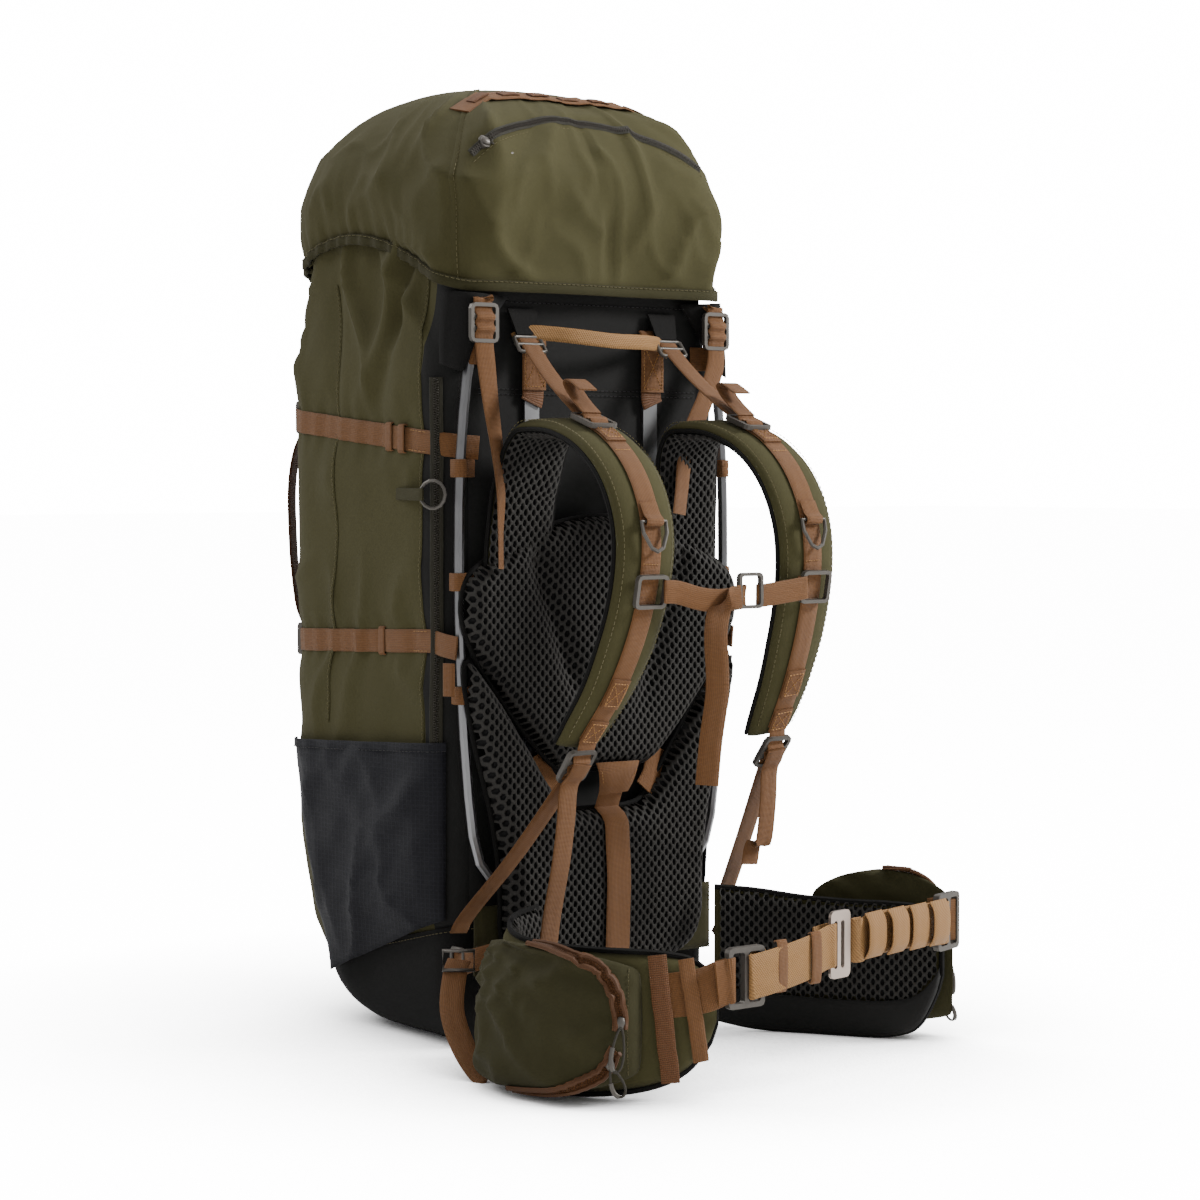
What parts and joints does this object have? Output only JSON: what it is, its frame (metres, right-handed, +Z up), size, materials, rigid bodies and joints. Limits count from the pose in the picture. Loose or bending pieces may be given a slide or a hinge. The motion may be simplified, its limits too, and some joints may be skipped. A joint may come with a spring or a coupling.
{
  "type": "hunting backpack",
  "caption": "Tall framed hunting backpack with a hooded lid, padded harness, side pockets and a padded hip belt with pouches, standing on its base.",
  "frame": {"origin": "on the floor, at the middle of the flat foot of the base", "axes": "+Z up; -Y towards the wearer's back (the harness side); +X towards the wearer's left"},
  "size_m": [0.4956, 0.6039, 0.872],
  "materials": {
    "olive_cloth": "coated polyester-cotton weave",
    "dark_cloth": "heavy plain weave",
    "navy_stretch": "fine ripstop",
    "spacer_mesh": "open hexagonal spacer mesh over foam",
    "webbing": "flat woven webbing",
    "belt_webbing": "flat woven webbing",
    "buckle_plastic": "satin grey",
    "bare_aluminium": "satin",
    "hook_alloy": "anodised satin",
    "frame_board": "matte sheet"
  },
  "bodies": {
    "pack": {"main_bag": "olive_cloth", "base_boot": "dark_cloth", "snow_collar": "olive_cloth", "back_panel": "dark_cloth", "frame_board": "frame_board", "frame_hoop": "bare_aluminium", "stay_right": "bare_aluminium", "stay_left": "bare_aluminium", "back_pad": "spacer_mesh", "lumbar_pad": "spacer_mesh", "side_pocket_right": "navy_stretch", "side_pocket_left": "navy_stretch", "front_pocket": "olive_cloth", "belt_core": "olive_cloth", "compression_upper_right": "webbing", "compression_upper_left": "webbing", "compression_lower_right": "webbing", "compression_lower_left": "webbing", "compression_buckle_upper_right": "buckle_plastic", "compression_buckle_upper_left": "buckle_plastic", "compression_buckle_lower_right": "buckle_plastic", "compression_buckle_lower_left": "buckle_plastic", "lid_buckle_right": "buckle_plastic", "lid_buckle_left": "buckle_plastic", "shoulder_riser_right": "spacer_mesh", "shoulder_riser_left": "spacer_mesh", "load_lifter_right": "webbing", "load_lifter_left": "webbing", "lower_strap_right": "webbing", "lower_strap_left": "webbing"},
    "lid": {"lid_hood": "olive_cloth"},
    "lid_zip": {"lid_zip_slider": "bare_aluminium"},
    "side_zip": {"side_zip_tab": "webbing"},
    "gear_loop": {"gear_ring": "buckle_plastic"},
    "handle": {"grab_handle": "belt_webbing"},
    "belt_buckle_hook": {"belt_hook": "hook_alloy"},
    "shoulder_right": {"shoulder_pad_right": "olive_cloth", "shoulder_webbing_right": "webbing", "lifter_buckle_right": "buckle_plastic", "lower_buckle_right": "buckle_plastic"},
    "strap_ring_right": {"d_ring_right": "buckle_plastic"},
    "sternum_right": {"sternum_slider_right": "buckle_plastic", "sternum_webbing_right": "webbing"},
    "belt_right": {"belt_wing_right": "spacer_mesh", "belt_pocket_right": "olive_cloth", "belt_webbing_right": "belt_webbing", "belt_buckle_right": "buckle_plastic", "belt_tab_right": "webbing"},
    "shoulder_left": {"shoulder_pad_left": "olive_cloth", "shoulder_webbing_left": "webbing", "lifter_buckle_left": "buckle_plastic", "lower_buckle_left": "buckle_plastic"},
    "strap_ring_left": {"d_ring_left": "buckle_plastic"},
    "sternum_left": {"sternum_slider_left": "buckle_plastic", "sternum_webbing_left": "webbing", "sternum_hook": "buckle_plastic"},
    "belt_left": {"belt_wing_left": "spacer_mesh", "belt_pocket_left": "olive_cloth", "belt_webbing_left": "belt_webbing", "belt_buckle_left": "buckle_plastic"}
  },
  "joints": [
    {"name": "lid_hinge", "type": "hinge", "parent": "pack", "child": "lid", "pos_m": [0, -0.145, 0.676], "axis": [1, 0, 0], "range_deg": [0, 105]},
    {"name": "lid_zip_travel", "type": "hinge", "parent": "lid", "child": "lid_zip", "pos_m": [-0.006, -0.226, 0.642], "axis": [0, -0.8821, 0.4711], "range_deg": [-64, 0]},
    {"name": "side_zip_travel", "type": "slide", "parent": "pack", "child": "side_zip", "axis": [0, 0, 1], "range_m": [-0.18, 0]},
    {"name": "gear_loop_hinge", "type": "hinge", "parent": "pack", "child": "gear_loop", "pos_m": [-0.1748, -0.1134, 0.497], "axis": [0, 0, 1], "range_deg": [-75, 0]},
    {"name": "handle_hinge", "type": "hinge", "parent": "pack", "child": "handle", "pos_m": [0, -0.1475, 0.642], "axis": [1, 0, 0], "range_deg": [-60, 0]},
    {"name": "shoulder_right_hinge", "type": "hinge", "parent": "pack", "child": "shoulder_right", "pos_m": [-0.09, -0.184, 0.564], "axis": [1, 0, 0], "range_deg": [-18, 0]},
    {"name": "strap_ring_right_hinge", "type": "hinge", "parent": "shoulder_right", "child": "strap_ring_right", "pos_m": [-0.09, -0.3338, 0.47534], "axis": [1, 0, 0], "range_deg": [-120, 0]},
    {"name": "sternum_right_travel", "type": "slide", "parent": "shoulder_right", "child": "sternum_right", "axis": [0.0559, -0.1886, 0.9805], "range_m": [-0.02, 0.01]},
    {"name": "shoulder_left_hinge", "type": "hinge", "parent": "pack", "child": "shoulder_left", "pos_m": [0.09, -0.184, 0.564], "axis": [1, 0, 0], "range_deg": [-18, 0]},
    {"name": "strap_ring_left_hinge", "type": "hinge", "parent": "shoulder_left", "child": "strap_ring_left", "pos_m": [0.09, -0.3338, 0.47534], "axis": [1, 0, 0], "range_deg": [-120, 0]},
    {"name": "sternum_left_travel", "type": "slide", "parent": "shoulder_left", "child": "sternum_left", "axis": [-0.0559, -0.1886, 0.9805], "range_m": [-0.02, 0.01]},
    {"name": "belt_right_hinge", "type": "hinge", "parent": "pack", "child": "belt_right", "pos_m": [-0.1, -0.184, 0.1], "axis": [0, 0, 1], "range_deg": [-40, 0]},
    {"name": "belt_left_hinge", "type": "hinge", "parent": "pack", "child": "belt_left", "pos_m": [0.1, -0.184, 0.1], "axis": [0, 0, 1], "range_deg": [0, 35]},
    {"name": "belt_hook_hinge", "type": "hinge", "parent": "belt_right", "child": "belt_buckle_hook", "pos_m": [0.038, -0.414, 0.1145], "axis": [0, 0, 1], "range_deg": [-70, 0]}
  ],
  "couplings": [
    {"joint": "shoulder_left_hinge", "follows": "shoulder_right_hinge", "ratio": 1},
    {"joint": "sternum_left_travel", "follows": "sternum_right_travel", "ratio": 1}
  ]
}
